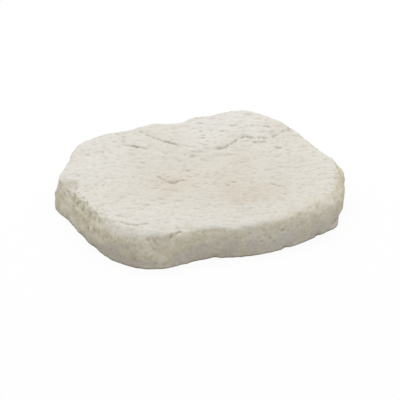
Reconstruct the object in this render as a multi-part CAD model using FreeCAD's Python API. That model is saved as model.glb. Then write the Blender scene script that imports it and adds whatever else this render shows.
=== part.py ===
import FreeCAD
import Part
import bisect
import math
import os

# Garden stepping stone: one piece of pale wet-cast concrete.
# Its sides lean in from the flat base to a worn, rounded shoulder. The right end's foot is broken in.
# The tread is riven: a shallow dish with hollows and crests, and two broken cleavage layers left standing
# along the back.
# Millimetres, +Z up, origin at the middle of the base, +X along the stone's length.

# Driving dimensions
LENGTH = 400.0
WIDTH = 336.0
TREAD_HEIGHT = 44.0
DISH_DEPTH = 3.5
SWELL_RISE = 3.5
SIDE_LEAN = 3.0
SHOULDER_RUN = 22.0
SHOULDER_DROP = 15.0
SHOULDER_COVER = 3.5
LOW_LEDGE_RISE = 2.8
HIGH_LEDGE_RISE = 3.0
LEDGE_LEAN = 0.7

# The outline in plan, anticlockwise from the right. Each row has shares of half the length, half the width,
# the shoulder's run, the shoulder's drop and the side's lean. Where the lean is negative the foot stands in
# under the top.
OUTLINE = [
    (1.00, -0.02, 0.95, 1.3, -1.7), (0.975, 0.16, 0.85, 1.2, -1.2), (0.855, 0.37, 0.60, 1.0, -0.4),
    (0.73, 0.615, 0.55, 0.9, 0.4), (0.52, 0.88, 0.55, 1.0, 1.0), (0.29, 1.00, 0.55, 1.0, 1.0),
    (0.06, 0.91, 0.55, 1.0, 1.0), (-0.06, 0.865, 0.55, 1.0, 1.0), (-0.14, 0.785, 0.55, 1.0, 1.0),
    (-0.35, 0.77, 0.55, 1.0, 1.0), (-0.47, 0.70, 0.55, 1.0, 1.0), (-0.60, 0.65, 0.55, 1.0, 1.0),
    (-0.81, 0.50, 0.55, 0.9, 1.0), (-0.90, 0.345, 0.50, 0.8, 1.0), (-0.945, 0.08, 0.45, 0.8, 1.3),
    (-1.00, -0.12, 0.80, 1.0, 1.7), (-0.93, -0.26, 0.90, 1.5, 1.4), (-0.825, -0.455, 0.85, 2.0, 1.0),
    (-0.69, -0.72, 1.10, 2.0, 1.0), (-0.555, -0.89, 1.30, 1.7, 1.0), (-0.34, -1.00, 1.35, 1.3, 1.0),
    (-0.15, -0.97, 1.10, 1.2, 1.0), (0.04, -0.87, 0.95, 1.1, 1.0), (0.24, -0.84, 0.85, 1.0, 1.0),
    (0.54, -0.74, 0.95, 1.1, 0.6), (0.785, -0.565, 1.15, 1.3, -0.3), (0.945, -0.385, 1.15, 1.4, -0.9),
]

# Swells of the tread: shares of half the length, of half the width, of half the length for the reach,
# and of the swells' rise. The broad ones come first, then the riven hollows, then the crests between them.
SWELLS = [
    (-0.40, -0.77, 0.31, 1.00), (0.12, -0.83, 0.25, -0.85), (0.70, -0.42, 0.30, 0.45),
    (-0.85, 0.00, 0.30, 0.45), (0.35, 0.71, 0.35, 0.20), (-0.15, -0.09, 0.22, -0.20),
    (-0.20, -0.20, 0.10, -0.40), (-0.41, -0.06, 0.13, -0.35), (-0.54, -0.54, 0.12, -0.40),
    (-0.06, -0.02, 0.09, -0.40), (0.24, 0.08, 0.12, -0.40), (0.27, -0.46, 0.17, -0.50),
    (0.56, -0.25, 0.12, -0.50), (-0.27, -0.50, 0.11, -0.35), (0.72, 0.12, 0.12, -0.35),
    (0.42, -0.22, 0.12, 0.35), (0.08, 0.05, 0.11, 0.35), (-0.34, 0.18, 0.13, 0.35),
    (-0.46, -0.30, 0.12, 0.35), (0.54, -0.05, 0.12, 0.35), (-0.02, -0.35, 0.12, 0.35),
]

# Broken edges of the two layers, from beyond the left side to beyond the right side,
# in shares of half the length and half the width
LOW_LEDGE = [
    (-1.15, 0.09), (-0.89, 0.24), (-0.70, 0.36), (-0.52, 0.42), (-0.36, 0.35), (-0.20, 0.27), (-0.09, 0.22),
    (0.03, 0.25), (0.15, 0.31), (0.24, 0.40), (0.31, 0.48), (0.41, 0.455), (0.48, 0.465), (0.56, 0.51),
    (0.62, 0.555), (0.70, 0.60), (1.15, 0.80),
]
HIGH_LEDGE = [
    (-0.65, 1.13), (-0.46, 0.67), (-0.34, 0.52), (-0.21, 0.42), (-0.10, 0.36), (0.02, 0.35),
    (0.14, 0.38), (0.23, 0.46), (0.29, 0.54), (0.35, 0.53), (0.41, 0.50), (0.47, 0.51), (0.54, 0.55),
    (0.60, 0.60), (0.68, 0.645), (1.15, 0.85),
]

# How finely the riven surfaces and the shoulder are drawn
OUTLINE_SAMPLES = 2000
TREAD_STEP = 12.0
SHOULDER_ANGLES = [math.radians(angle) for angle in (12.0, 24.0, 36.0, 48.0, 60.0)]
MARGIN = 40.0
HEADROOM = 12.0


def placed(share_x, share_y):
    """A point given in shares of half the length and half the width, in millimetres."""
    return share_x * LENGTH / 2.0, share_y * WIDTH / 2.0


def line_at(line, x):
    """The y of a broken edge at x, straight between its points."""
    points = [placed(*share) for share in line]
    after = min(max(bisect.bisect([px for px, _ in points], x), 1), len(points) - 1)
    (x0, y0), (x1, y1) = points[after - 1], points[after]
    return y0 + (y1 - y0) * (x - x0) / (x1 - x0)


def tread(x, y):
    """Height of the tread: a dish that deepens to its middle, and the broad swells."""
    outward = (2.0 * x / LENGTH) ** 2 + (2.0 * y / WIDTH) ** 2
    height = TREAD_HEIGHT + DISH_DEPTH * min(outward, 1.0)
    for share_x, share_y, reach, rise in SWELLS:
        swell_x, swell_y = placed(share_x, share_y)
        away = math.hypot(x - swell_x, y - swell_y) / (reach * LENGTH / 2.0)
        height += rise * SWELL_RISE * math.exp(-(away**2))
    return height


def layers_at(x, y):
    """How much the standing layers add to the tread's height at a point."""
    rise = 0.0
    if y > line_at(LOW_LEDGE, x):
        rise += LOW_LEDGE_RISE
    if y > line_at(HIGH_LEDGE, x):
        rise += HIGH_LEDGE_RISE
    return rise


def ring(points, stations):
    """A smooth closed wire through the points. Shared stations keep the rings in step with one another."""
    curve = Part.BSplineCurve()
    curve.interpolate([FreeCAD.Vector(*p) for p in points], PeriodicFlag=True, Parameters=stations)
    return Part.Wire(curve.toShape())


def walk(edge):
    """How far along the outline each of its points lies, ending back at the first."""
    stations = [0.0]
    for start, end in zip(edge, edge[1:] + edge[:1]):
        stations.append(stations[-1] + math.hypot(end[0] - start[0], end[1] - start[1]))
    return stations


def outline_points():
    """The outline in millimetres, stretched so that its curve is exactly as long and wide as stated."""
    rough = [placed(share_x, share_y) for share_x, share_y, _, _, _ in OUTLINE]
    drawn = ring([(x, y, 0.0) for x, y in rough], walk(rough)).discretize(OUTLINE_SAMPLES)
    low_x, high_x = min(p.x for p in drawn), max(p.x for p in drawn)
    low_y, high_y = min(p.y for p in drawn), max(p.y for p in drawn)
    points = []
    for (x, y), (_, _, run, drop, lean) in zip(rough, OUTLINE):
        share_x = (x - low_x) / (high_x - low_x) - 0.5
        share_y = (y - low_y) / (high_y - low_y) - 0.5
        shoulder = (run * SHOULDER_RUN, drop * SHOULDER_DROP)
        points.append((share_x * LENGTH, share_y * WIDTH, *shoulder, lean * SIDE_LEAN))
    return points


def inset(x, y, distance):
    """The point moved towards the middle of the stone by a distance."""
    reach = math.hypot(x, y)
    share = (reach - distance) / reach
    return x * share, y * share


def stand_back(lean, share):
    """How far the side stands in from the outline at a share of its height."""
    return max(lean * share, -lean * (1.0 - share))


def block(edge):
    """The cast block, ruled from ring to ring: up the leaning side, over the shoulder and past the tread."""
    crests = [tread(x, y) + layers_at(x, y) + SHOULDER_COVER for x, y, _, _, _ in edge]
    top = max(crests) + HEADROOM
    stations = walk(edge)
    sections = []
    for share in (0.0, 1.0):
        sections.append(ring([
            (*inset(x, y, stand_back(lean, share)), (crest - drop) * share)
            for (x, y, _, drop, lean), crest in zip(edge, crests)
        ], stations))
    for angle in SHOULDER_ANGLES:
        in_share, down_share = 1.0 - math.cos(angle), 1.0 - math.sin(angle)
        sections.append(ring([
            (*inset(x, y, stand_back(lean, 1.0) + run * in_share), crest - drop * down_share)
            for (x, y, run, drop, lean), crest in zip(edge, crests)
        ], stations))
    sections.append(ring([
        (*inset(x, y, stand_back(lean, 1.0) + run), top)
        for x, y, run, _, lean in edge
    ], stations))
    return Part.makeLoft(sections, True, True)


def above(rise):
    """Everything above the tread surface when it is lifted by the rise, as a cutting solid."""
    reach_x, reach_y = LENGTH / 2.0 + MARGIN, WIDTH / 2.0 + MARGIN
    columns, rows = round(2.0 * reach_x / TREAD_STEP), round(2.0 * reach_y / TREAD_STEP)
    grid = []
    for i in range(columns + 1):
        x = -reach_x + 2.0 * reach_x * i / columns
        ys = [-reach_y + 2.0 * reach_y * j / rows for j in range(rows + 1)]
        grid.append([FreeCAD.Vector(x, y, tread(x, y) + rise) for y in ys])
    surface = Part.BSplineSurface()
    surface.interpolate(grid)
    return surface.toShape().extrude(FreeCAD.Vector(0.0, 0.0, TREAD_HEIGHT + HEADROOM))


def front_of(line):
    """The space in front of a broken edge, leaning back as it rises."""
    points = [placed(*share) for share in line]
    front = -WIDTH
    corners = points + [(LENGTH, points[-1][1]), (LENGTH, front), (-LENGTH, front), (-LENGTH, points[0][1])]
    foot = -LEDGE_LEAN * TREAD_HEIGHT
    wire = Part.makePolygon([FreeCAD.Vector(x, y + foot, 0.0) for x, y in corners + corners[:1]])
    height = TREAD_HEIGHT + 2.0 * HEADROOM
    return Part.Face(wire).extrude(FreeCAD.Vector(0.0, LEDGE_LEAN * height, height))


def stepping_stone():
    """The block with its riven top: the high layer, then the low layer, then the tread laid bare in front."""
    stone = block(outline_points())
    stone = stone.cut(above(LOW_LEDGE_RISE + HIGH_LEDGE_RISE))
    stone = stone.cut(above(LOW_LEDGE_RISE).common(front_of(HIGH_LEDGE)))
    return stone.cut(above(0.0).common(front_of(LOW_LEDGE)))


def main():
    os.makedirs("parts", exist_ok=True)
    stone = stepping_stone()
    stone.exportStep("parts/stepping_stone.step")
    box = stone.optimalBoundingBox()
    print("solids", len(stone.Solids), "valid", stone.isValid(), "faces", len(stone.Faces))
    print("size", round(box.XLength, 1), round(box.YLength, 1), round(box.ZLength, 1))
    print("volume", round(stone.Volume))


main()
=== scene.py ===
# %% [markdown]
# # A riven stepping stone in cast concrete
# The real stone is one casting: a pale, layered tread that copies split rock, a worn and chipped shoulder,
# a smoother grey side from the mould, and a flat base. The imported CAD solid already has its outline, its
# lean, its dish and its two broken ledges. This lesson lays a fine skin over that solid, roughens it with
# noise as split stone is rough, and gives it the colours of cast concrete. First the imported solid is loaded.

import math

import bpy
import numpy as np
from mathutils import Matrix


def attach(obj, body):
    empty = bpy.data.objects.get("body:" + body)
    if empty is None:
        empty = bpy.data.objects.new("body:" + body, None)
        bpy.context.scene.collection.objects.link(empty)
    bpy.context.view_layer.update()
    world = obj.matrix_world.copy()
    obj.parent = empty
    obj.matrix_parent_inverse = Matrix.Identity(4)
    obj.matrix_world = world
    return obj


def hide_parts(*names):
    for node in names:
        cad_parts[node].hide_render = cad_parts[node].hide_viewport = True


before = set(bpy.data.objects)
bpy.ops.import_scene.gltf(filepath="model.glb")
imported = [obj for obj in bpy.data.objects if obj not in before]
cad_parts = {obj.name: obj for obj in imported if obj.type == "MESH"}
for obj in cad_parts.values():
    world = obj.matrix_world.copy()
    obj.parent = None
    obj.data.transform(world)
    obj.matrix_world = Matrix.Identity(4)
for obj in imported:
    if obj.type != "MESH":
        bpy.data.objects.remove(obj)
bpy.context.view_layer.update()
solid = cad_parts["stepping_stone"]
MM = 0.001

# %% [markdown]
# ## Noise for broken stone
# Split rock is rough at every size at once, so one wave isn't enough. Blender has noise textures, but those
# only shade a surface, and a chip on the outline has to be real shape. So the noise is worked out with numpy
# on whole arrays: gradient noise for rolling forms, fractal sums of it for roughness, and terraces cut into
# such a sum for stone that splits in sheets. Every random choice comes from a lattice cell's number and a
# seed, so each run gives the same stone. Lengths in the arrays are millimetres.

# %% Gradient noise
CUBE_EDGES = np.array([way for way in np.ndindex(3, 3, 3) if way.count(1) == 1], float) - 1.0
AXIS_FACTORS = (73856093, 19349663, 83492791)
SEED_FACTOR = 2654435761
MIXING_FACTOR = 1274126177


def scrambled(cell, seed):
    """A whole number for each lattice cell: its coordinates times large odd factors, mixed by shifts and one
    more product."""
    x, y, z = (cell[..., axis].astype(np.uint32) * np.uint32(AXIS_FACTORS[axis]) for axis in range(3))
    number = x ^ y ^ z ^ np.uint32(seed * SEED_FACTOR % 2**32)
    number ^= number >> np.uint32(13)
    number *= np.uint32(MIXING_FACTOR)
    return number ^ (number >> np.uint32(16))


def noise(points, seed):
    """Gradient noise, about -1 to 1. Each corner of a point's lattice cell has a random direction, which is
    dotted with the way from that corner, and the eight results are blended by 6t^5 - 15t^4 + 10t^3."""
    cell = np.floor(points).astype(np.int64)
    inside = points - cell
    fade = inside**3 * (inside * (inside * 6.0 - 15.0) + 10.0)
    total = np.zeros(points.shape[:-1])
    for corner in np.ndindex(2, 2, 2):
        direction = CUBE_EDGES[scrambled(cell + corner, seed) % len(CUBE_EDGES)]
        weight = np.where(np.array(corner) == 1, fade, 1.0 - fade).prod(axis=-1)
        total += weight * ((inside - corner) * direction).sum(axis=-1)
    return total


def rough(points, wave, octaves, seed, gain=0.5):
    """Fractal noise: octaves added up, each with half the last one's wavelength and gain times its
    height."""
    scaled = points / np.asarray(wave, float)
    return sum(gain**octave * noise(scaled * 2**octave, seed + octave) for octave in range(octaves))


def smooth(low, high, value):
    """0 below low, 1 above high, and 3t^2 - 2t^3 between them."""
    share = np.clip((value - low) / (high - low), 0.0, 1.0)
    return share * share * (3.0 - 2.0 * share)


print("noise directions:", len(CUBE_EDGES))

# %% Terraces
def terraced(height, step, riser):
    """Flat treads and short risers, as in split slate: whole steps, and a smooth climb over each one's last
    share, the riser."""
    level = np.floor(height / step)
    return step * (level + smooth(1.0 - riser, 1.0, height / step - level))


print("terrace heights of 0.1, 0.9 and 1.5 in steps of 1:", terraced(np.array([0.1, 0.9, 1.5]), 1.0, 0.3))

# %% [markdown]
# ## Reading the solid
# The skin has to lie on the solid, so it is measured: rays are shot at the solid from above and from the
# side. A Python loop of ray casts would be slow. Geometry Nodes has a Raycast node that works on all points
# of a mesh at once, so the rays' starts become the vertices of a throwaway mesh, and the node moves each to
# its hit.

# %% Rays onto the solid
FAR = 400.0
UP = np.array((0.0, 0.0, 1.0))


def strike(starts, ways):
    """Where rays from the starts, along the ways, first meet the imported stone."""
    mesh = bpy.data.meshes.new("rays")
    mesh.vertices.add(len(starts))
    mesh.vertices.foreach_set("co", (starts * MM).astype(np.float32).ravel())
    stored = mesh.attributes.new("way", "FLOAT_VECTOR", "POINT")
    stored.data.foreach_set("vector", ways.astype(np.float32).ravel())
    tree = bpy.data.node_groups.new("rays", "GeometryNodeTree")
    tree.interface.new_socket("Geometry", in_out="INPUT", socket_type="NodeSocketGeometry")
    tree.interface.new_socket("Geometry", in_out="OUTPUT", socket_type="NodeSocketGeometry")
    given, moved, result = (tree.nodes.new(kind) for kind in (
        "NodeGroupInput", "GeometryNodeSetPosition", "NodeGroupOutput"))
    target = tree.nodes.new("GeometryNodeObjectInfo")
    target.inputs["Object"].default_value = solid
    way = tree.nodes.new("GeometryNodeInputNamedAttribute")
    way.data_type = "FLOAT_VECTOR"
    way.inputs["Name"].default_value = "way"
    ray = tree.nodes.new("GeometryNodeRaycast")
    for source, sink in (
        (given.outputs["Geometry"], moved.inputs["Geometry"]),
        (target.outputs["Geometry"], ray.inputs["Target Geometry"]),
        (way.outputs["Attribute"], ray.inputs["Ray Direction"]),
        (ray.outputs["Hit Position"], moved.inputs["Position"]),
        (moved.outputs["Geometry"], result.inputs["Geometry"]),
    ):
        tree.links.new(source, sink)
    rays = bpy.data.objects.new("rays", mesh)
    bpy.context.scene.collection.objects.link(rays)
    rays.modifiers.new("rays", "NODES").node_group = tree
    hits = np.zeros(len(starts) * 3, np.float32)
    rays.evaluated_get(bpy.context.evaluated_depsgraph_get()).data.vertices.foreach_get("co", hits)
    bpy.data.objects.remove(rays)
    bpy.data.meshes.remove(mesh)
    bpy.data.node_groups.remove(tree)
    return hits.reshape(-1, 3).astype(float) / MM


print("height in the middle, mm:", strike(FAR * UP[None], -UP[None])[0, 2].round(1))

# %% [markdown]
# ## A grid with no pole
# A round stone could be drawn in polar rings, but then thousands of thin faces meet at its middle. Instead a
# square grid is bent: each square ring of the grid becomes a ring of the stone, with even spacing round it.
# The inner rings are the tread, the outer ones go over the shoulder and down the side to the base edge.

# %% Square rings
CELLS = 300
ROW = CELLS + 1
TREAD_SHARE = 0.735

across, along = np.meshgrid(np.linspace(-1.0, 1.0, ROW), np.linspace(-1.0, 1.0, ROW))
across, along = across.ravel(), along.ravel()
ring = np.maximum(abs(across), abs(along))
on_sides = abs(across) >= abs(along)
lead = np.where(ring > 0.0, np.where(on_sides, across, along), 1.0)
turn = np.pi / 4.0 * np.where(on_sides, along, across) / lead
bearing = np.where(on_sides, turn, np.pi / 2.0 - turn) + np.where(lead < 0.0, np.pi, 0.0)
outward = np.stack([np.cos(bearing), np.sin(bearing), np.zeros_like(bearing)], axis=-1)
print("grid points:", len(ring))

# %% [markdown]
# ## The coarse form
# The skin first copies the solid. For every bearing the rim is found, where the tread turns down into the
# shoulder: a ray from the side at a guessed height gives a reach, a ray from above just inside it gives the
# tread's height there, and a few rounds of that settle. Inside the rim the grid hangs under rays from above.
# Outside it, the rings step down the shoulder and the side, each at the reach of a ray from the side.

# %% Find the rim
RIM_GUESS = 44.0
RIM_SINK = 0.8
RIM_INSET = 3.0
ROUNDS = 5


def reach_at(heights):
    """How far the solid's side lies from the middle at each point's bearing and height."""
    starts = outward * FAR + heights[:, None] * UP
    return np.linalg.norm(strike(starts, -outward)[:, :2], axis=1)


def tread_height(places):
    """The solid's height below each place."""
    starts = places * (1.0, 1.0, 0.0) + FAR * UP
    return strike(starts, np.broadcast_to(-UP, places.shape))[:, 2]


rim_height = np.full(len(ring), RIM_GUESS)
for _ in range(ROUNDS):
    rim_reach = reach_at(rim_height - RIM_SINK)
    rim_height = tread_height(outward * (rim_reach - RIM_INSET)[:, None])
print("rim reach, mm:", round(rim_reach.min(), 1), "to", round(rim_reach.max(), 1))

# %% Blurs, strokes and bells
def blurred(values, passes):
    """The grid's values averaged with their neighbours, over and over."""
    square = values.reshape(ROW, ROW, -1)
    for _ in range(passes):
        wide = np.pad(square, ((1, 1), (1, 1), (0, 0)), mode="edge")
        square = (wide[:-2, 1:-1] + wide[2:, 1:-1] + wide[1:-1, :-2] + wide[1:-1, 2:] + 2.0 * square) / 6.0
    return square.reshape(values.shape)


def off_stroke(flat, x0, y0, x1, y1):
    """The way from the nearest point of a straight stroke to each flat place."""
    start, way = np.array((x0, y0), float), np.array((x1 - x0, y1 - y0), float)
    share = np.clip((flat - start) @ way / (way @ way), 0.0, 1.0)
    return flat - start - share[:, None] * way


def bell(flat, x, y, far):
    """1 at one flat place, and exp(-(distance / far)^2) at the others."""
    return np.exp(-((flat - (x, y)) ** 2).sum(axis=1) / far**2)


print("a bell's height as far off as its reach:", bell(np.array([[3.0, 0.0]]), 0.0, 0.0, 3.0).round(3))

# %% Hang the tread
LEDGE_WANDER = 3.5
LEDGE_WAVE = 16.0
SOFTENING = 3.6
WIDE_SOFTENING = 9.0
SLOPE_PASSES = 50
SHARPEST = 0.5
SHARP_REACH = 10.0
SHARP_WAVE = 14.0
# The stretches where the ledges are still sharp, as x, y to x, y in millimetres
SHARP_STRETCHES = [
    (-104, 71, -80, 63), (-60, 84, -31, 68), (23, 59, 44, 75), (44, 75, 59, 90), (70, 89, 93, 86),
]
# Where the ledges are worn down into a gentle slope: x, y and reach in millimetres
WORN_LEDGES = [(16, 57, 22), (-58, 55, 18)]


def held_inside(places):
    """The places, drawn in along their bearing so that none lies past the rim."""
    reach = np.linalg.norm(places[:, :2], axis=1)
    return places * (np.minimum(reach, rim_reach - RIM_INSET) / np.maximum(reach, 1e-6))[:, None]


def softened(spread, xs, ys):
    """The solid's height averaged over a small grid of places round each point, a spread apart."""
    steps = spread * np.array([(x, y, 0) for x in xs for y in ys])
    return np.mean([tread_height(held_inside(warped + step)) for step in steps], axis=0)


tread_reach = rim_reach * np.minimum(ring / TREAD_SHARE, 1.0)
plan = outward * tread_reach[:, None]
wander = [rough(plan, LEDGE_WAVE, 3, seed, gain=0.6) for seed in (21, 31)]
warped = plan + LEDGE_WANDER * np.stack([*wander, np.zeros(len(plan))], axis=-1)
crisp = tread_height(held_inside(warped))
soft = softened(SOFTENING, (-2, 0, 2), range(-3, 4))
nearest = np.min([(off_stroke(warped[:, :2], *ends) ** 2).sum(axis=1) for ends in SHARP_STRETCHES], axis=0)
unworn = smooth(-0.3, 0.4, rough(plan, SHARP_WAVE, 2, seed=41))
sharp = SHARPEST * np.exp(-nearest / SHARP_REACH**2) * unworn
height = soft + (crisp - soft) * sharp
sloped = blurred(softened(WIDE_SOFTENING, (-1, 0, 1), range(-2, 3)), SLOPE_PASSES)
worn_down = np.max([bell(plan[:, :2], *spot) for spot in WORN_LEDGES], axis=0)
height = height + worn_down * (sloped - height)
print("tread height, mm:", round(height.min(), 1), "to", round(height.max(), 1))

# %% How the stone changes round its edge
# Each row has a bearing in degrees, how broken the rim is, how far it is worn round, the share of the height
# where the mould face ends, how level the tread's pale face has to lie (1 is dead level, 0 is upright), how
# strongly painted shade darkens the foot, and how far from the rim the stone is paler, partly worn and partly
# painted light, in millimetres
ROUND_THE_STONE = np.array([
    (0, 0.30, 0.40, 0.15, 0.84, 0.2, 16),
    (16, 0.30, 0.40, 0.30, 0.84, 0.3, 16),
    (30, 0.15, 0.25, 0.50, 0.80, 0.4, 16),
    (150, 0.15, 0.15, 0.50, 0.75, 0.4, 16),
    (175, 0.50, 0.50, 0.30, 0.85, 0.6, 16),
    (190, 0.60, 0.90, 0.12, 0.84, 0.7, 16),
    (203, 1.00, 0.70, 0.16, 0.83, 0.5, 16),
    (211, 1.00, 0.60, 0.12, 0.88, 0.9, 16),
    (222, 0.60, 0.80, 0.36, 0.84, 2.0, 14),
    (235, 0.30, 0.90, 0.58, 0.60, 2.6, 12),
    (241, 0.20, 1.00, 0.40, 0.62, 1.8, 9),
    (248, 0.20, 1.00, 0.18, 0.77, 0.4, 8),
    (257, 0.20, 1.00, 0.16, 0.86, 0.0, 10),
    (266, 0.25, 0.90, 0.54, 0.94, 0.5, 12),
    (282, 0.25, 0.90, 0.62, 0.84, 1.6, 16),
    (296, 0.20, 0.90, 0.60, 0.86, 0.9, 28),
    (304, 0.20, 0.90, 0.50, 0.78, 0.2, 46),
    (312, 0.15, 1.00, 0.55, 1.00, 0.0, 50),
    (336, 0.25, 0.80, 0.42, 1.00, 0.0, 55),
    (348, 0.30, 0.50, 0.20, 0.90, 0.0, 34),
])


def around(column):
    """A column of the list at every bearing, straight between its rows and round past the right end."""
    return np.interp(np.degrees(bearing), ROUND_THE_STONE[:, 0], ROUND_THE_STONE[:, column], period=360.0)


broken, wear, side_top, pale_level, painted_foot_shade, pale_reach = (around(column) for column in range(1, 7))
print("broken rim on average:", round(float(broken.mean()), 2))

# %% Step down the shoulder and the side
STEP_BEND = 1.4
LOWEST_RAY = 0.05
WEAR_REACH = 9.0
WEAR_PASSES = 36
# Where the stone is pale this far in, its shoulder is worn widely too
WIDELY_PALE = (16.0, 40.0)
WIDE_WEAR = 0.9
WIDE_WEAR_REACH = 20.0
WIDE_WEAR_PASSES = 110
# The solid's facets are blurred past these shares of the way from the rim to the base edge
FACET_SHARES = (0.05, 0.25)
FACET_PASSES = 12


def worn_by(share, passes):
    """The coarse form, moved at each point by a share of the way to a blurred copy of itself."""
    return coarse + share[:, None] * (blurred(coarse, passes) - coarse)


past_rim = np.clip((ring - TREAD_SHARE) / (1.0 - TREAD_SHARE), 0.0, 1.0)
side_height = (rim_height - RIM_SINK) * (1.0 - past_rim**STEP_BEND)
side_reach = reach_at(np.maximum(side_height, LOWEST_RAY))
outer = ring > TREAD_SHARE
reach = np.where(outer, side_reach, tread_reach)
z = np.where(outer, side_height, height)
from_rim = np.where(outer, np.hypot(reach - rim_reach, z - rim_height), tread_reach - rim_reach)
widely_pale = smooth(*WIDELY_PALE, pale_reach)
coarse = outward * reach[:, None] + z[:, None] * UP
coarse = worn_by(wear * np.exp(-((from_rim / WEAR_REACH) ** 2)), WEAR_PASSES)
coarse = worn_by(WIDE_WEAR * widely_pale * np.exp(-((from_rim / WIDE_WEAR_REACH) ** 2)), WIDE_WEAR_PASSES)
coarse = worn_by(smooth(*FACET_SHARES, past_rim), FACET_PASSES)
print("coarse form, mm:", coarse.min(axis=0).round(1), coarse.max(axis=0).round(1))

# %% The worn corner and the split end
# The left corner is worn off: where, how far the wear reaches, how deep it is and between which heights it
# sets in, in millimetres
CORNER = (-179.0, -40.0)
CORNER_REACH = 14.0
CORNER_DEPTH = 7.0
CORNER_HEIGHTS = (18.0, 34.0)
# A flake has split off the right end: its middle bearing in degrees, how far to each side of that it ends
# and is whole, the reach where it starts, how ragged that line is, its width, its fall for each millimetre,
# and how far past the rim it fades out
SPLIT_BEARING = -6.0
SPLIT_SPREAD = (18.0, 9.0)
SPLIT_REACH = 190.0
SPLIT_RAGGED = 1.5
SPLIT_WIDTH = 8.0
SPLIT_FALL = 0.60
SPLIT_FADE = 12.0

corner = bell(coarse[:, :2], *CORNER, CORNER_REACH) * smooth(*CORNER_HEIGHTS, z)
coarse[:, 2] -= CORNER_DEPTH * corner
split_window = smooth(*np.cos(np.radians(SPLIT_SPREAD)), np.cos(bearing - math.radians(SPLIT_BEARING)))
past_split = reach - SPLIT_REACH + SPLIT_RAGGED * rough(coarse, 12.0, 3, seed=43)
split_drop = SPLIT_FALL * np.clip(past_split, 0.0, SPLIT_WIDTH) * split_window
coarse[:, 2] -= split_drop * (1.0 - smooth(0.0, SPLIT_FADE, from_rim))
print("points in the corner and the split:", int((corner > 0.5).sum()), int((split_drop > 0.5).sum()))

# %% Which way the coarse form faces
FACING_PASSES = 10


def unit(ways):
    """The ways, each made one long."""
    return ways / np.linalg.norm(ways, axis=1, keepdims=True)


def faced(places, passes):
    """Which way the grid faces: the cross product of its steps along both axes, made one long and
    blurred."""
    square = places.reshape(ROW, ROW, 3)
    ways = np.cross(np.gradient(square, axis=1), np.gradient(square, axis=0)).reshape(-1, 3)
    return blurred(unit(ways), passes)


facing = unit(faced(coarse, FACING_PASSES))
print("share of points that face upwards:", round(float((facing[:, 2] > 0.7).mean()), 3))

# %% [markdown]
# ## The riven relief
# Split rock breaks along its bedding, so the tread's roughness is a pile of thin flat sheets with ragged
# edges that run mostly along the length. Noise stretched along X and cut into terraces gives just that.
# Finer grit lies over it. The shoulder breaks across the bedding instead, into lumps, and its rim flakes and
# crumbles, worst at the left. The side below is a mould face, nearly smooth.

# %% Where the tread, the shoulder and the side are
# How far the mould face's upper edge wanders and over which share of the height it blends
SIDE_WANDER = 0.13
SIDE_BLEND = 0.12
# How far the slope that bounds the pale face wanders, and how far below and above it that face fades in
SLOPE_WANDER = 0.14
PALE_FADE = (0.26, 0.12)
# The pale face is whole further inside the rim than this, and a widely pale shoulder draws that line in
WHOLE_TREAD = (-12.0, -5.0)
DRAWN_IN = 8.0
# The worn corner shows the grey of the mould where it lies level, and the grey also paints shade on it
CORNER_GREY_AND_SHADE = 0.8

level = z / rim_height + SIDE_WANDER * rough(coarse, 24.0, 3, seed=71)
on_side = (1.0 - smooth(side_top - SIDE_BLEND, side_top + SIDE_BLEND, level)) * outer
on_side = np.maximum(on_side, CORNER_GREY_AND_SHADE * smooth(0.05, 0.5, corner) * smooth(0.5, 0.8, facing[:, 2]))
slope = facing[:, 2] + SLOPE_WANDER * rough(coarse, 14.0, 4, seed=73)
below, above = PALE_FADE
whole = 1.0 - smooth(*WHOLE_TREAD, from_rim + DRAWN_IN * widely_pale)
on_tread = np.maximum(smooth(pale_level - below, pale_level + above, slope), whole)
on_tread = on_tread * (1.0 - smooth(0.35, 0.8, corner + 0.3 * rough(coarse, 14.0, 3, seed=75)))
on_tread = on_tread * (1.0 - split_window * smooth(-1.5, 1.5, past_split))
on_shoulder = (1.0 - on_tread) * (1.0 - on_side)
shares = [round(float(mask.mean()), 2) for mask in (on_tread, on_shoulder, on_side)]
print("shares of tread, shoulder and side:", shares)

# %% Relief of the tread
# Heights and wavelengths in millimetres, the wavelengths along x, y and z where they differ
SWELL = 0.6
SWELL_WAVE = (80.0, 60.0, 60.0)
BEDDING = 1.5
BEDDING_WAVE = (30.0, 24.0, 60.0)
SHEET = 0.75
SHEET_SHARE = 0.6
GRIT = 0.8
GRIT_WAVE = (20.0, 7.5, 9.0)

swell = SWELL * rough(coarse, SWELL_WAVE, 3, seed=51)
bedding = BEDDING * rough(coarse, BEDDING_WAVE, 4, seed=55)
sheets = SHEET_SHARE * terraced(bedding, SHEET, 0.5) + (1.0 - SHEET_SHARE) * bedding
patchy = (0.9 + 0.8 * rough(coarse, 45.0, 2, seed=59)).clip(0.4, 1.4)
grit = GRIT * patchy * rough(coarse, GRIT_WAVE, 3, seed=61, gain=0.55)
tread_relief = swell + sheets + grit
print("tread relief, mm:", round(tread_relief.min(), 2), "to", round(tread_relief.max(), 2))

# %% Relief of the shoulder and the side
LUMP = 2.6
LUMP_WAVE = 17.0
NUB = 0.4
NUB_WAVE = 6.0
SIDE_WAVINESS = 0.8
SIDE_WAVE = 28.0
SIDE_GRAIN = 0.2
SIDE_GRAIN_WAVE = 4.5
RIM_RAGGED = 11.0
RIM_WAVE = (20.0, 20.0, 14.0)
FLAKE_DEPTH = 2.2
FLAKE = 2.0
# Distances from the rim between which the flakes set in, and between which they end
FLAKES_FROM = (-2.0, 10.0)
FLAKES_TO = (10.0, 26.0)
CRUMB = 2.3
CRUMB_WAVE = (12.0, 12.0, 9.0)
CRUMB_PLACE = 5.0
CRUMB_REACH = 7.0

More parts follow.
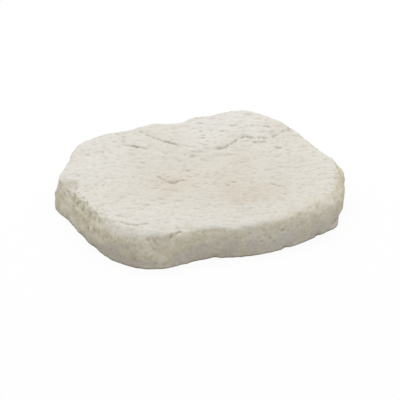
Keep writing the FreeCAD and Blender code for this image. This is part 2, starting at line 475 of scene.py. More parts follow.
lumps = LUMP * rough(coarse, LUMP_WAVE, 3, seed=87) + NUB * rough(coarse, NUB_WAVE, 2, seed=89, gain=0.6)
shoulder_relief = (0.5 + 0.4 * broken) * lumps
waviness = SIDE_WAVINESS * rough(coarse, SIDE_WAVE, 3, seed=95)
side_relief = waviness + SIDE_GRAIN * rough(coarse, SIDE_GRAIN_WAVE, 2, seed=99)
ragged_rim = from_rim + RIM_RAGGED * rough(coarse, RIM_WAVE, 4, seed=93, gain=0.6)
flaking = broken * FLAKE_DEPTH * smooth(*FLAKES_FROM, ragged_rim) * (1.0 - smooth(*FLAKES_TO, from_rim))
flakes = terraced(flaking, FLAKE, 0.7)
loose = broken * smooth(-0.25, 0.35, rough(coarse, 24.0, 2, seed=81))
chips = rough(coarse, CRUMB_WAVE, 3, seed=84, gain=0.6)
crumbs = CRUMB * loose * chips * np.exp(-(((ragged_rim - CRUMB_PLACE) / CRUMB_REACH) ** 2))
relief = on_tread * tread_relief + on_shoulder * shoulder_relief + on_side * side_relief + crumbs - flakes
print("relief, mm:", round(relief.min(), 2), "to", round(relief.max(), 2))

# %% [markdown]
# ## Marks placed one by one
# Some marks are this stone's own: a curved scar in the middle of the tread, the flakes round it, the ragged
# feet of the ledges, pits in the plateau, a lip that lifts along the rim of the nose, grooves down the nose,
# and pores in the mould face. Each is a short stroke with a depth. A stroke's far wall is steeper than its
# near wall, as where a flake lifts away.

# %% Strokes on the tread
# Start x, y, end x, y, then width and depth in millimetres
SCAR_STROKES = [
    (-55, -11, -46, -20, 2.6, 1.8), (-46, -20, -40, -24, 3.0, 2.1), (-40, -24, -31, -23, 3.2, 2.3),
    (-31, -23, -21, -18, 2.8, 2.1), (-50, -25, -30, -27, 8.0, 0.6), (-47, -43, -39, -44, 3.0, 0.7),
    (-39, -44, -31, -48, 3.0, 1.0), (-21, 6, -7, 8, 5.0, 1.1), (-8, -34, -1, -37, 3.0, 0.9),
    (8, -4, 19, -7, 3.0, 0.4), (96, -30, 105, -34, 3.0, 0.9), (105, -34, 115, -37, 3.0, 1.0),
    (45, -26, 48, -26, 2.6, 1.4), (57, 29, 66, 29, 3.0, 0.8), (20, -28, 40, -30, 3.0, 0.6),
    (60, -24, 74, -20, 3.0, 0.6),
]
LEDGE_STROKES = [
    (-104, 71, -95, 70, 2.4, 1.5), (-95, 70, -87, 66, 2.4, 1.6), (-87, 66, -74, 61, 2.4, 1.1),
    (-74, 61, -44, 49, 3.0, 0.4), (-84, 105, -63, 87, 2.4, 1.2), (-63, 87, -53, 78, 2.4, 1.4),
    (-53, 78, -44, 75, 2.4, 1.6), (-44, 75, -31, 68, 2.6, 2.2), (-31, 68, -18, 66, 2.6, 0.8),
    (-21, 45, 3, 55, 2.4, 0.7), (-20, 44, -10, 43, 2.0, 1.1), (24, 61, 32, 63, 2.4, 1.9),
    (32, 62, 42, 70, 2.6, 2.0), (42, 70, 51, 79, 2.6, 1.4), (28, 59, 45, 73, 2.4, 1.4),
    (45, 73, 54, 83, 2.4, 2.2), (54, 83, 64, 90, 2.4, 1.2), (69, 90, 76, 87, 2.0, 1.0),
    (76, 87, 93, 86, 2.0, 1.0), (104, 91, 113, 96, 2.2, 1.0), (113, 96, 122, 105, 2.4, 1.1),
    (122, 105, 132, 113, 2.2, 0.8), (109, 67, 116, 66, 3.0, 1.6), (98, 62, 109, 66, 2.6, 0.7),
    (94, 115, 102, 112, 2.4, 1.2),
]
PLATEAU_PITS = [
    (0, 86, 5, 87, 2.4, 1.5), (4, 94, 9, 94, 2.2, 1.4), (8, 75, 12, 75, 2.2, 1.4),
    (1, 103, 5, 104, 2.2, 1.3), (5, 66, 10, 65, 2.2, 1.3), (28, 102, 34, 103, 2.4, 1.3),
    (47, 118, 53, 119, 2.6, 0.9), (-40, 98, -34, 97, 3.0, 0.8),
]
NOSE_STROKES = [
    (-100, -132, -90, -139, 2.6, 1.6), (-90, -139, -78, -141, 2.6, 1.9), (-78, -141, -68, -135, 2.6, 1.5),
    (-36, -157, -25, -150, 3.0, 1.8),
]
TREAD_STEEP = 0.45
RAGGED = 1.8
RAGGED_WAVE = 9.0


def strokes(flat, marks, steep):
    """Depth of all strokes at each flat place: a bell across each straight stroke, narrowed on its far side
    by the steep share."""
    depth = np.zeros(len(flat))
    for *ends, width, most in marks:
        off = off_stroke(flat, *ends)
        wide = width * np.where(off[:, 1] > 0.0, steep, 1.0)
        depth = np.maximum(depth, most * np.exp(-(off**2).sum(axis=1) / wide**2))
    return depth


ragged = RAGGED * np.stack([rough(coarse, RAGGED_WAVE, 3, seed) for seed in (101, 105)], axis=-1)
fading = (0.9 + 0.5 * rough(coarse, 11.0, 2, seed=109)).clip(0.6, 1.15)
tread_strokes = SCAR_STROKES + LEDGE_STROKES + PLATEAU_PITS + NOSE_STROKES
tread_marks = strokes(coarse[:, :2] + ragged, tread_strokes, TREAD_STEEP) * fading * (1.0 - on_side)
print("deepest mark of the tread, mm:", round(tread_marks.max(), 2))

# %% Grooves and pores on the front
# Start x, z, end x, z, then width and depth in millimetres, on the side that faces the front
FRONT_STROKES = [
    (-66, 42, -58, 29, 3.4, 1.5), (-61, 44, -54, 36, 3.0, 0.9), (-54, 44, -49, 38, 3.0, 0.7),
    (-83, 11, -83, 12, 1.8, 1.4), (65, 33, 66, 33, 1.6, 1.2), (92, 22, 93, 22, 1.5, 1.2),
    (98, 35, 99, 35, 1.5, 1.1), (108, 29, 111, 29, 2.0, 1.5), (54, 27, 55, 27, 1.4, 1.0),
    (80, 19, 81, 19, 1.5, 1.1), (98, 15, 99, 15, 1.6, 1.2), (63, 16, 64, 16, 1.4, 1.0),
]
FRONT_STEEP = 0.8
FRONT_RAGGED = 0.4

upright = coarse[:, [0, 2]]
facing_front = smooth(0.2, 0.5, -facing[:, 1])
front_marks = strokes(upright + FRONT_RAGGED * ragged, FRONT_STROKES, FRONT_STEEP) * facing_front
marks = np.maximum(tread_marks, front_marks)
print("deepest mark of the front, mm:", round(front_marks.max(), 2))

# %% The base edge and the broken foot
FLASH = 1.4
FLASH_WAVE = 26.0
EDGE_HEIGHT = 9.0
# The right end's foot is broken in: how far to each side of its middle that ends and is whole, in degrees,
# the height of the step, how ragged it is, how far above and below it blends, its depth, and the share of
# that by which the foot below it stands in
RIGHT_END = (26.0, 14.0)
STEP_HEIGHT = 13.0
STEP_RAGGED = 6.0
STEP_BLEND = 4.0
STEP_DEPTH = 2.8
STEP_BELOW = 0.6
# Broken places of the base edge: bearing and width in degrees, depth in millimetres. The last stands out.
NOTCHES = [
    (184, 3.0, 4.0), (197, 1.5, 1.6), (211, 2.5, 1.0), (221, 4.0, 3.0), (262, 1.2, 1.2), (278, 2.0, 1.6),
    (313, 1.6, 2.4), (330, 1.4, 2.6), (340, 5.0, -3.0),
]

near_base = 1.0 - smooth(0.0, EDGE_HEIGHT, coarse[:, 2])
edge_noise = rough(coarse * (1.0, 1.0, 0.4), FLASH_WAVE, 4, seed=111, gain=0.6)
degrees = np.degrees(bearing) % 360.0
notches = sum(depth * np.exp(-((degrees - at) / width) ** 2) for at, width, depth in NOTCHES)
edge_relief = near_base * (FLASH * (0.4 + edge_noise) - notches)
right_end = smooth(*np.cos(np.radians(RIGHT_END)), np.cos(bearing))
step_line = STEP_HEIGHT + STEP_RAGGED * rough(coarse, 24.0, 3, seed=121)
above_step = smooth(-STEP_BLEND, STEP_BLEND, coarse[:, 2] - step_line)
foot_step = right_end * STEP_DEPTH * (above_step - STEP_BELOW)
relief = relief - marks + smooth(0.2, 0.5, past_rim) * (edge_relief + foot_step)
fine = coarse + relief[:, None] * facing
fine[:, 2] = np.maximum(fine[:, 2], 0.0)
fine[ring >= 1.0, 2] = 0.0
print("fine form, mm:", fine.min(axis=0).round(1), fine.max(axis=0).round(1))

# %% [markdown]
# ## Masks for the finish
# The finish needs to know where it is: on the tread, on the mould face, in a hollow or on a crest. Hollows get
# dirt and painted shade, crests wear and a painted highlight, and the foot and front-facing risers painted
# shade.
# Hollows are found by comparing the relief, and inside the rim the tread's height too, with a blurred copy
# of itself. Stains, warm patches, pale places and patches of painted light and shade are put where this stone
# has them. The masks are stored on the mesh's points as attributes, and the material reads them.

# %% Hollows and risers
HOLLOW_PASSES = 10
HOLLOW_DEPTH = 0.9
BROAD_PASSES = 40
BROAD_DEPTH = 2.0
BROAD_SHARE = 0.6
# Heights up to which a dark line and a broad shade, both painted shade, lie along the foot
BASE_LINE = 3.0
BASE_SHADE = 22.0
BASE_SHADE_SHARE = 0.7
# How far the ledges' risers lean to the front for their painted shade, and the distances from the rim between
# which it ends
RISER_PASSES = 3
RISER_LEANS = (0.18, 0.50)
RISER_END = (-16.0, -8.0)


def sunken(passes):
    """How far each point lies below its surroundings, by its relief and, inside the rim, by the tread's
    height."""
    return blurred(relief, passes) - relief + ~outer * (blurred(height, passes) - height)


# Sunken places get dirt and painted shade, and raised ones wear and a painted highlight
hollow = np.clip(sunken(HOLLOW_PASSES) / HOLLOW_DEPTH, -1.0, 1.0)
base_line = 1.0 - smooth(0.0, BASE_LINE, fine[:, 2])
base_line = base_line * smooth(-0.5, 0.4, rough(coarse, 14.0, 3, seed=145))
hollow = np.maximum(hollow, np.minimum(painted_foot_shade, 1.0) * base_line)
# Wide hollows and the foot get a broad painted shade
broad_painted_shade = BROAD_SHARE * np.clip(sunken(BROAD_PASSES) / BROAD_DEPTH, -1.0, 1.0)
base_shade = BASE_SHADE_SHARE * painted_foot_shade * (1.0 - smooth(0.0, BASE_SHADE, fine[:, 2]))
broad_painted_shade = np.maximum(broad_painted_shade, base_shade)
# Risers that face the front get painted shade
riser = smooth(*RISER_LEANS, -faced(fine, RISER_PASSES)[:, 1]) * on_tread
riser = riser * (1.0 - smooth(*RISER_END, from_rim))
print("hollow share:", round(float((hollow > 0.3).mean()), 3))

# %% Stains, warm patches and painted light and shade
# The whole tread is warm round its middle: the middle and the half widths of that place in millimetres, and
# the shares of them between which it fades
WARM_MIDDLE = (22.0, -8.0)
WARM_WIDTHS = (135.0, 86.0)
WARM_FADE = (0.55, 1.3)
WARM_MOST = 0.38
# Where iron has stained the tread warmer, or less if the last value is negative: x, y, reach in millimetres,
# and how strongly. The patches at 48, 84 and 118, 105 are painted ledge shade instead, and the negative one at
# 14, 55 is painted light on a slope that faces the front
STAINS_AND_PAINTED_LIGHT = [
    (-38, -24, 26, 0.45), (48, -46, 30, 0.50), (60, 34, 20, 0.40), (96, -58, 26, 0.35),
    (-88, 44, 22, 0.20), (-105, -58, 25, 0.20), (-38, 94, 25, 0.30), (20, 18, 26, 0.20),
    (52, -74, 32, 0.35), (-48, -58, 22, 0.25), (44, -8, 16, 0.30), (-80, -25, 18, 0.20),
    (48, 84, 12, 0.40), (118, 105, 16, 0.35), (14, 55, 16, -0.35), (-168, 36, 16, 0.30),
    (-9, -137, 9, 0.60), (-50, -152, 9, 0.50),
]
# Where the front is darkened, or made paler with painted light if the last value is negative: x, z, reach
# in millimetres, and how strongly
FRONT_DARKENED_AND_LIT = [
    (-86, 23, 13, 1.0), (-110, 24, 7, 0.7), (-57, 14, 8, 0.8), (-50, 36, 9, -0.8), (-41, 4, 6, -0.5),
    (-20, 12, 10, -0.45), (84, 31, 9, -0.6), (116, 32, 8, -0.4), (181, 12, 9, -1.0), (166, 6, 8, -0.8),
]
FRONT_PATCH_RAGGED = 2.0
BLOT_RAGGED = 9.0
BLOT_WAVE = 26.0

front_patch_places = upright + FRONT_PATCH_RAGGED * ragged
front_darkened_and_lit = sum(facing_front * most * bell(front_patch_places, *spot) for *spot, most in FRONT_DARKENED_AND_LIT)
# The darkened front patches join the broad painted shade
broad_painted_shade = broad_painted_shade + np.maximum(front_darkened_and_lit, 0.0)
blot = np.stack([rough(coarse, BLOT_WAVE, 3, seed) for seed in (151, 155)], axis=-1)
blot = coarse[:, :2] + BLOT_RAGGED * blot
off_middle = np.linalg.norm((coarse[:, :2] - WARM_MIDDLE) / WARM_WIDTHS, axis=1)
warmth = WARM_MOST * (1.0 - smooth(*WARM_FADE, off_middle))
warmth = warmth + sum(most * bell(blot, *spot) for *spot, most in STAINS_AND_PAINTED_LIGHT)
print("warmth on average:", round(float(warmth.mean()), 2))

# %% Worn places and painted light
# The rim is paler where it slopes, partly worn and partly painted light that brightens the slope's shade:
# wholly below the first upward share of its facing, and not at all above the second. A fresh break is pale
# too: how strongly, how far outside the rim, and its reach.
PAINTED_LIGHT_LEVELS = (0.80, 0.97)
FRESH_BREAK = 0.6
FRESH_PLACE = 3.0
FRESH_REACH = 9.0
# The plateau is chalky: between which y it sets in, how ragged that line is, and between which x it starts
# and ends, in millimetres
CHALK_FROM = (45.0, 80.0)
CHALK_RAGGED = 12.0
CHALK_LEFT = (-70.0, 0.0)
CHALK_RIGHT = (70.0, 110.0)
# The left of the tread is bleached: the middle of that place and its reach in millimetres, and how strongly
BLEACHED_LEFT = (-148.0, 28.0, 55.0)
BLEACHED_MOST = 0.9

# The rim is paler: wear, and painted light on its slopes
worn_and_painted_light = (1.0 - broken) * np.exp(-((from_rim / pale_reach) ** 2))
worn_and_painted_light = worn_and_painted_light * (1.0 - smooth(*PAINTED_LIGHT_LEVELS, facing[:, 2]))
fresh_break = FRESH_BREAK * broken * np.exp(-(((from_rim - FRESH_PLACE) / FRESH_REACH) ** 2))
worn_and_painted_light = np.maximum(worn_and_painted_light, fresh_break) * (1.0 - split_window)
# The front's pale patches are painted light
worn_and_painted_light = np.maximum(worn_and_painted_light, -front_darkened_and_lit)
chalk = smooth(*CHALK_FROM, coarse[:, 1] + CHALK_RAGGED * rough(coarse, 30.0, 3, seed=141))
chalk = chalk * smooth(*CHALK_LEFT, coarse[:, 0]) * (1.0 - smooth(*CHALK_RIGHT, coarse[:, 0]))
chalk = np.maximum(chalk, BLEACHED_MOST * bell(blot, *BLEACHED_LEFT))
print("chalky share:", round(float((chalk > 0.5).mean()), 3))

# %% [markdown]
# ## The skin as a mesh
# The bent grid is one sheet of quads. The underside closes it: a few rings of quads run in from the base
# edge and a fan closes the middle. A UV map named OFBake goes along, with the sheet below and the underside
# above, so that a baked finish has room and no seams across the tread.

# %% Faces of the skin and the underside
UNDER_SHARES = (0.985, 0.9, 0.62, 0.3)
UNDER_HOLLOW = 0.6
UNDER_WAVE = 30.0

index = np.arange(ROW * ROW).reshape(ROW, ROW)
corners = [index[:-1, :-1], index[:-1, 1:], index[1:, 1:], index[1:, :-1]]
top_faces = np.stack(corners, axis=-1).reshape(-1, 4)
edge_loop = np.concatenate([index[0, :-1], index[:-1, -1], index[-1, :0:-1], index[:0:-1, 0]])
base_edge = fine[edge_loop]
under = np.concatenate([base_edge * share for share in UNDER_SHARES] + [np.zeros((1, 3))])
under[:, 2] = UNDER_HOLLOW * (1.0 + rough(under, UNDER_WAVE, 3, seed=131)).clip(0.1, 2.0)
under_index = len(fine) + np.arange(len(under))
loops = [edge_loop, *under_index[:-1].reshape(len(UNDER_SHARES), -1)]
under_faces = np.concatenate([
    np.stack([wider, inner, np.roll(inner, -1), np.roll(wider, -1)], axis=-1)
    for wider, inner in zip(loops, loops[1:])
])
middle = np.full(len(edge_loop), under_index[-1])
fan = np.stack([loops[-1], middle, np.roll(loops[-1], -1)], axis=-1)
points = np.concatenate([fine, under])
print("faces:", len(top_faces) + len(under_faces) + len(fan))

# %% Put the skin into Blender
mesh = bpy.data.meshes.new("riven_stone")
mesh.from_pydata((points * MM).tolist(), [], top_faces.tolist() + under_faces.tolist() + fan.tolist())
mesh.polygons.foreach_set("use_smooth", np.ones(len(mesh.polygons), bool))
on_base = np.arange(len(mesh.polygons)) >= len(top_faces)
mesh.polygons.foreach_set("material_index", on_base.astype(np.int32))
on_under = np.zeros(len(under))
for name, values, under_value in (
    ("tread", on_tread, on_under), ("side", on_side, on_under + 1.0),
    ("hollow", hollow, on_under), ("broad_painted_shade", broad_painted_shade, on_under),
    ("warmth", warmth, on_under), ("chalk", chalk, on_under),
    ("riser", riser, on_under), ("worn_and_painted_light", worn_and_painted_light, on_under),
):
    mask = mesh.attributes.new(name, "FLOAT", "POINT")
    mask.data.foreach_set("value", np.concatenate([values, under_value]).astype(np.float32))
print("triangles:", 2 * (len(top_faces) + len(under_faces)) + len(fan))

# %% A UV map for baking
TOP_CHART = 0.78
CHART_HALF = 0.49

sheet_places = np.stack([across, along], axis=-1)
under_places = [sheet_places[edge_loop] * share for share in UNDER_SHARES]
corner_point = np.zeros(len(mesh.loops), np.int32)
mesh.loops.foreach_get("vertex_index", corner_point)
places = np.concatenate([sheet_places, *under_places, np.zeros((1, 2))])[corner_point] * CHART_HALF + 0.5
under_corner = np.arange(len(corner_point)) >= top_faces.size
under_chart = TOP_CHART + (1.0 - TOP_CHART) * places[:, 1]
places[:, 1] = np.where(under_corner, under_chart, TOP_CHART * places[:, 1])
mesh.uv_layers.new(name="OFBake").uv.foreach_set("vector", places.astype(np.float32).ravel())
mesh.validate()
stone = bpy.data.objects.new("riven_stone", mesh)
bpy.context.scene.collection.objects.link(stone)
print("map corners:", len(places))

# %% [markdown]
# ## Cast concrete
# Concrete is matt sand and cement, so its colour is never even: cloudy patches, a fine speckle of sand,
# pinholes where air was caught, darkened with painted shade, dirt and painted shade in the hollows, and paler
# crests, partly where feet and weather rub and partly a painted highlight. Painted light also pales the rim's
# slopes, and painted shade darkens the foot and the ledges' risers. The speckle and the pinholes show on the
# face and on the base, so each is a node group that both materials use.

# %% Node helpers
LATTICE_TURN = (0.6, 0.5, 0.7)


def add(tree, kind, inputs=(), **settings):
    """A new node with its settings, its inputs set to values or linked to other nodes' outputs."""
    made = tree.nodes.new(kind)
    for name, value in settings.items():
        setattr(made, name, value)
    for name, value in dict(inputs).items():
        if isinstance(value, bpy.types.NodeSocket):
            tree.links.new(value, made.inputs[name])
        else:
            made.inputs[name].default_value = value
    return made


def maths(tree, operation, first, second):
    """The result of one Math node."""
    return add(tree, "ShaderNodeMath", {0: first, 1: second}, operation=operation).outputs[0]


def mixed(tree, factor, first, second, blend="MIX"):
    """A colour mixed from two others."""
    made = tree.nodes.new("ShaderNodeMix")
    made.data_type = "RGBA"
    made.blend_type = blend
    for socket, value in ((made.inputs[0], factor), (made.inputs[6], first), (made.inputs[7], second)):
        if isinstance(value, bpy.types.NodeSocket):
            tree.links.new(value, socket)
        else:
            socket.default_value = value
    return made.outputs[2]


def ranged(tree, value, low, high, to_low=0.0, to_high=1.0):
    """A value eased from one range to another and held there."""
    ends = {"Value": value, "From Min": low, "From Max": high, "To Min": to_low, "To Max": to_high}
    return add(tree, "ShaderNodeMapRange", ends, interpolation_type="SMOOTHSTEP").outputs["Result"]


def clouds(tree, place, size, detail=3.0, roughness=0.55, stretch=(1.0, 1.0, 1.0)):
    """Noise with features about a size in metres, drawn out along an axis by its stretch. It is turned, so
    that its lattice doesn't show as straight edges on the level tread."""
    scale = tuple(1.0 / (size * part) for part in stretch)
    spread = add(tree, "ShaderNodeMapping", {"Vector": place, "Scale": scale, "Rotation": LATTICE_TURN})
    kind = {"Vector": spread.outputs["Vector"], "Scale": 1.0, "Detail": detail, "Roughness": roughness}
    return add(tree, "ShaderNodeTexNoise", kind).outputs["Fac"]


def attribute(tree, name):
    """One of the mesh's masks."""
    return add(tree, "ShaderNodeAttribute", attribute_name=name).outputs["Fac"]


print("noise turned by, degrees:", [round(math.degrees(angle)) for angle in LATTICE_TURN])

# %% Sand speckle and pinholes
# Sizes in metres
FINE_SAND = 0.0011
COARSE_SAND = 0.0045
PIN_SPACING = 0.0065
# The random share of a cell above which it has a pinhole, and the largest hole's share of the spacing
PIN_CHANCE = 0.80
PIN_SIZE = 0.16


def effect(name, outputs):
    """An empty node group that takes a place and puts out the named values."""
    tree = bpy.data.node_groups.new(name, "ShaderNodeTree")
    tree.interface.new_socket("Place", in_out="INPUT", socket_type="NodeSocketVector")
    for output in outputs:
        tree.interface.new_socket(output, in_out="OUTPUT", socket_type="NodeSocketFloat")
    return tree, tree.nodes.new("NodeGroupInput").outputs["Place"], tree.nodes.new("NodeGroupOutput")


def sand_group():
    """Sand: a fine speckle about its middle of 0.5, and the height of its grains."""
    tree, place, result = effect("sand", ("Speckle", "Height"))
    fine_grain = clouds(tree, place, FINE_SAND, detail=2.0, roughness=0.6)
    coarse_grain = clouds(tree, place, COARSE_SAND, detail=3.0, roughness=0.6)
    half_fine = maths(tree, "MULTIPLY", fine_grain, 0.5)
    half_coarse = maths(tree, "MULTIPLY", coarse_grain, 0.5)
    tree.links.new(maths(tree, "ADD", half_fine, half_coarse), result.inputs["Speckle"])
    tree.links.new(maths(tree, "ADD", fine_grain, coarse_grain), result.inputs["Height"])
    return tree


def pinhole_group():
    """Pinholes: 1 inside an air hole and 0 outside. A hole is the middle of a Voronoi cell, and only in the
    cells whose random colour is high."""
    tree, place, result = effect("pinholes", ("Hole",))
    spaced = {"Vector": place, "Scale": 1.0 / PIN_SPACING, "Randomness": 1.0}
    cell = add(tree, "ShaderNodeTexVoronoi", spaced)
    chance = add(tree, "ShaderNodeSeparateColor", {"Color": cell.outputs["Color"]})
    size = ranged(tree, chance.outputs["Red"], PIN_CHANCE, 1.0, 0.0, PIN_SIZE)
    hole = maths(tree, "LESS_THAN", cell.outputs["Distance"], size)
    tree.links.new(hole, result.inputs["Hole"])
    return tree


SAND = sand_group()
PINHOLES = pinhole_group()
print("groups:", [group.name for group in bpy.data.node_groups])

# %% Grained concrete
HOLE_SHADE = (0.30, 0.27, 0.22, 1.0)
HOLE_DARKNESS = 0.7
SPECKLE = 0.13
SPECKLE_RANGE = (0.3, 0.7)
ROUGHNESS = (0.95, 0.82)
GRAIN_HEIGHT = 0.0004
GRAIN_STRENGTH = 0.5
SHEEN_LEVEL = 0.25


def blank_material(name):
    """A new material's node tree, its shader and the place on the stone that its textures read."""
    material = bpy.data.materials.new(name)
    material.use_nodes = True
    tree = material.node_tree
    return material, tree, tree.nodes["Principled BSDF"], add(tree, "ShaderNodeTexCoord").outputs["Object"]


def grained(tree, shader, place, colour, holes, grain):
    """Finish a concrete material: speckle and pinholes, darkened with painted shade, in its colour, grain and
    holes in its bump. The holes and the grain are each a share of the most."""
    sand = add(tree, "ShaderNodeGroup", node_tree=SAND)
    pins = add(tree, "ShaderNodeGroup", node_tree=PINHOLES)
    tree.links.new(place, sand.inputs["Place"])
    tree.links.new(place, pins.inputs["Place"])
    spread = ranged(tree, sand.outputs["Speckle"], *SPECKLE_RANGE, -SPECKLE, SPECKLE)
    speckle = maths(tree, "ADD", maths(tree, "MULTIPLY", spread, grain), 1.0)
    shade = add(tree, "ShaderNodeCombineColor", {"Red": speckle, "Green": speckle, "Blue": speckle})
    colour = mixed(tree, 1.0, colour, shade.outputs["Color"], "MULTIPLY")
    hole = maths(tree, "MULTIPLY", pins.outputs["Hole"], holes)
    # Painted shade inside the pinholes
    colour = mixed(tree, maths(tree, "MULTIPLY", hole, HOLE_DARKNESS), colour, HOLE_SHADE)
    height = maths(tree, "SUBTRACT", maths(tree, "MULTIPLY", sand.outputs["Height"], grain), hole)
    raised = {"Height": height, "Strength": GRAIN_STRENGTH, "Distance": GRAIN_HEIGHT}
    bump = add(tree, "ShaderNodeBump", raised)
    tree.links.new(colour, shader.inputs["Base Color"])
    tree.links.new(bump.outputs["Normal"], shader.inputs["Normal"])
    roughness = ranged(tree, sand.outputs["Speckle"], *SPECKLE_RANGE, *ROUGHNESS)
    tree.links.new(roughness, shader.inputs["Roughness"])
    shader.inputs["Specular IOR Level"].default_value = SHEEN_LEVEL


print("speckle, percent:", round(100.0 * SPECKLE))

# %% The weathered face and the base
CHALK = (0.842, 0.822, 0.782, 1.0)
PALE = (0.82, 0.795, 0.735, 1.0)
PEACH = (0.745, 0.685, 0.59, 1.0)
STREAK = (0.75, 0.705, 0.60, 1.0)
PALE_BUFF = (0.84, 0.80, 0.67, 1.0)
BUFF = (0.73, 0.673, 0.515, 1.0)
MOULD_GREY = (0.66, 0.61, 0.54, 1.0)
RISER_SHADE = (0.60, 0.54, 0.41, 1.0)
DIRT_AND_SHADE = (0.42, 0.365, 0.27, 1.0)
CREST = (0.86, 0.83, 0.74, 1.0)
# Sizes of the clouds in metres
PATCH_SIZE = 0.030
STREAK_SIZE = 0.007
MOTTLE_SIZE = 0.019
GREY_SIZE = 0.022
BASE_SIZE = 0.06
# The most of each colour that is laid over what is below it
STREAK_MOST = 0.35
WORN_AND_PAINTED_LIGHT_MOST = 0.5
RISER_SHADE_MOST = 0.3
DIRT_AND_SHADE_MOST = 0.6
BROAD_SHADE_MOST = 0.25
CREST_MOST = 0.6
# The least holes on the face, and the tread's share of the grain
FACE_HOLES = 0.25
TREAD_GRAIN = 0.4


def weathered_face():
    """The tread, shoulder and side: cloudy pale concrete, buff where it broke, grey from the mould."""
    material, tree, shader, place = blank_material("weathered_concrete")
    tread, side, hollow = (attribute(tree, name) for name in ("tread", "side", "hollow"))
    broad, warmth, chalk = (attribute(tree, name) for name in ("broad_painted_shade", "warmth", "chalk"))
    riser, worn_and_painted_light = attribute(tree, "riser"), attribute(tree, "worn_and_painted_light")
    patch = ranged(tree, clouds(tree, place, PATCH_SIZE, detail=4.0), 0.36, 0.62, 0.75, 1.15)
    streak = clouds(tree, place, STREAK_SIZE, stretch=(1.4, 1.0, 1.2))
    colour = mixed(tree, chalk, PALE, CHALK)
    colour = mixed(tree, maths(tree, "MULTIPLY", patch, warmth), colour, PEACH)
    colour = mixed(tree, ranged(tree, streak, 0.35, 0.7, 0.0, STREAK_MOST), colour, STREAK)
    mottle = clouds(tree, place, MOTTLE_SIZE, roughness=0.5)
    bare = maths(tree, "SUBTRACT", 1.0, tread)
    colour = mixed(tree, bare, colour, mixed(tree, ranged(tree, mottle, 0.38, 0.6), PALE_BUFF, BUFF))
    cloud = ranged(tree, clouds(tree, place, GREY_SIZE), 0.38, 0.62, 0.5, 1.0)
    colour = mixed(tree, maths(tree, "MULTIPLY", side, cloud), colour, MOULD_GREY)
    # Painted light and wear: the rim's slopes and the front's pale patches made paler
    colour = mixed(tree, maths(tree, "MULTIPLY", worn_and_painted_light, WORN_AND_PAINTED_LIGHT_MOST), colour, CREST)
    # Painted shade on the ledges' front-facing risers
    colour = mixed(tree, maths(tree, "MULTIPLY", riser, RISER_SHADE_MOST), colour, RISER_SHADE)
    # Dirt and painted shade in the hollows and along the foot
    colour = mixed(tree, ranged(tree, hollow, -0.2, 0.9, 0.0, DIRT_AND_SHADE_MOST), colour, DIRT_AND_SHADE)
    # Broad painted shade in wide hollows, down the foot and on the darkened front patches
    colour = mixed(tree, ranged(tree, broad, 0.15, 0.9, 0.0, BROAD_SHADE_MOST), colour, DIRT_AND_SHADE)
    # Crests paler, partly worn and partly a painted highlight
    colour = mixed(tree, ranged(tree, hollow, -0.15, -0.8, 0.0, CREST_MOST), colour, CREST)
    holes = maths(tree, "MAXIMUM", side, FACE_HOLES)
    grained(tree, shader, place, colour, holes, ranged(tree, tread, 0.0, 1.0, 1.0, TREAD_GRAIN))
    return material


def struck_base():
    """The base: grey concrete struck off level in the mould, with more pinholes."""
    material, tree, shader, place = blank_material("struck_concrete")
    patch = ranged(tree, clouds(tree, place, BASE_SIZE, detail=4.0), 0.35, 0.65)
    grained(tree, shader, place, mixed(tree, patch, MOULD_GREY, BUFF), 1.0, 1.0)
    return material


for material in (weathered_face(), struck_base()):
    mesh.materials.append(material)
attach(stone, "root")
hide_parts("stepping_stone")
print("materials:", [material.name for material in mesh.materials])

# %% [markdown]
# ## The photographer's table
# The stone was shot on white under a soft light from above and behind, so its top is bright, its front is in
# gentle shade, and front-facing crevices go dark. A white dome and one large soft lamp give that. The floor
# is seen as white, with only a soft shadow, but it throws less light back than a white floor would.

# %% The floor
FLOOR_DROP = 0.0005
FLOOR_SIZE = 8.0
FLOOR_BOUNCE = (0.55, 0.54, 0.51, 1.0)
WHITE = (1.0, 1.0, 1.0, 1.0)
PLAIN_SHARE = 0.92


def floor_material():
    """White to the camera with a little of its shading kept, and a darker matt surface to all other rays."""
    material = bpy.data.materials.new("white_floor")
    material.use_nodes = True
    tree = material.node_tree
    tree.nodes.remove(tree.nodes["Principled BSDF"])
    shaded = add(tree, "ShaderNodeBsdfDiffuse", {"Color": WHITE}).outputs[0]
    plain = add(tree, "ShaderNodeEmission", {"Color": WHITE, "Strength": 1.0}).outputs[0]
    seen = add(tree, "ShaderNodeMixShader", {0: PLAIN_SHARE, 1: shaded, 2: plain}).outputs[0]
    bounce = add(tree, "ShaderNodeBsdfDiffuse", {"Color": FLOOR_BOUNCE}).outputs[0]
    camera_ray = add(tree, "ShaderNodeLightPath").outputs["Is Camera Ray"]
    both = add(tree, "ShaderNodeMixShader", {0: camera_ray, 1: bounce, 2: seen}).outputs[0]
    tree.links.new(both, tree.nodes["Material Output"].inputs["Surface"])
    return material


half = FLOOR_SIZE / 2.0
floor_corners = [(x * half, y * half, -FLOOR_DROP) for x, y in ((-1, -1), (1, -1), (1, 1), (-1, 1))]
floor_mesh = bpy.data.meshes.new("floor")
floor_mesh.from_pydata(floor_corners, [], [(0, 1, 2, 3)])
floor_mesh.materials.append(floor_material())
floor = bpy.data.objects.new("floor", floor_mesh)
bpy.context.scene.collection.objects.link(floor)
print("floor, m:", FLOOR_SIZE)

# %% The sky and the lamp
DOME = 0.66
KEY_PLACE = (-0.1, 0.7, 1.7)
KEY_SIZE = (3.4, 1.0)
KEY_POWER = 17.0

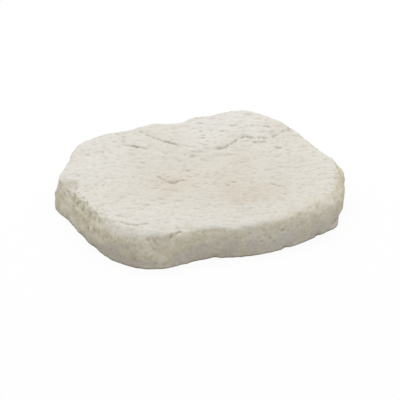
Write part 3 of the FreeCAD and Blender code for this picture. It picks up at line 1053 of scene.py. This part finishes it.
world = bpy.data.worlds.new("white_dome")
world.use_nodes = True
sky = world.node_tree
camera_ray = sky.nodes.new("ShaderNodeLightPath").outputs["Is Camera Ray"]
strength = add(sky, "ShaderNodeMapRange", {"Value": camera_ray, "To Min": DOME, "To Max": 1.0})
sky.nodes["Background"].inputs["Color"].default_value = WHITE
sky.links.new(strength.outputs["Result"], sky.nodes["Background"].inputs["Strength"])
bpy.context.scene.world = world


def aimed(start, end):
    """The turn that points a lamp's or a camera's -Z from one place at another, with its top upwards."""
    way = np.array(end, float) - np.array(start, float)
    level = math.hypot(way[0], way[1])
    return (math.pi / 2.0 + math.atan2(way[2], level), 0.0, math.atan2(way[1], way[0]) - math.pi / 2.0)


lamp = bpy.data.lights.new("key", "AREA")
lamp.shape = "RECTANGLE"
lamp.size, lamp.size_y = KEY_SIZE
lamp.energy = KEY_POWER
key = bpy.data.objects.new("key", lamp)
key.location = KEY_PLACE
key.rotation_euler = aimed(KEY_PLACE, (0.0, 0.0, 0.0))
bpy.context.scene.collection.objects.link(key)
print("lamp at", KEY_PLACE)

# %% [markdown]
# ## The photograph's camera
# The stone's proportions in the photograph fit a view from 32 degrees above level with little perspective,
# so the camera stands well back with a long lens. A small shift sets the stone where it lies in the frame.

# %% Camera
TARGET = (0.0, -0.0195, 0.025)
ELEVATION = math.radians(32.0)
DISTANCE = 1.8
SENSOR = 36.0
STONE_LENGTH = 0.4
STONE_SHARE = 0.7295
SHIFT = (0.00225, -0.0215)

back, rise = DISTANCE * math.cos(ELEVATION), DISTANCE * math.sin(ELEVATION)
viewpoint = (TARGET[0], TARGET[1] - back, TARGET[2] + rise)
camera_data = bpy.data.cameras.new("camera")
camera_data.sensor_width = SENSOR
camera_data.lens = SENSOR * STONE_SHARE * DISTANCE / STONE_LENGTH
camera_data.shift_x, camera_data.shift_y = SHIFT
camera = bpy.data.objects.new("camera", camera_data)
camera.location = viewpoint
camera.rotation_euler = aimed(viewpoint, TARGET)
bpy.context.scene.collection.objects.link(camera)
bpy.context.scene.camera = camera
bpy.context.scene.view_settings.view_transform = "Standard"
print("lens, mm:", round(camera_data.lens, 1))
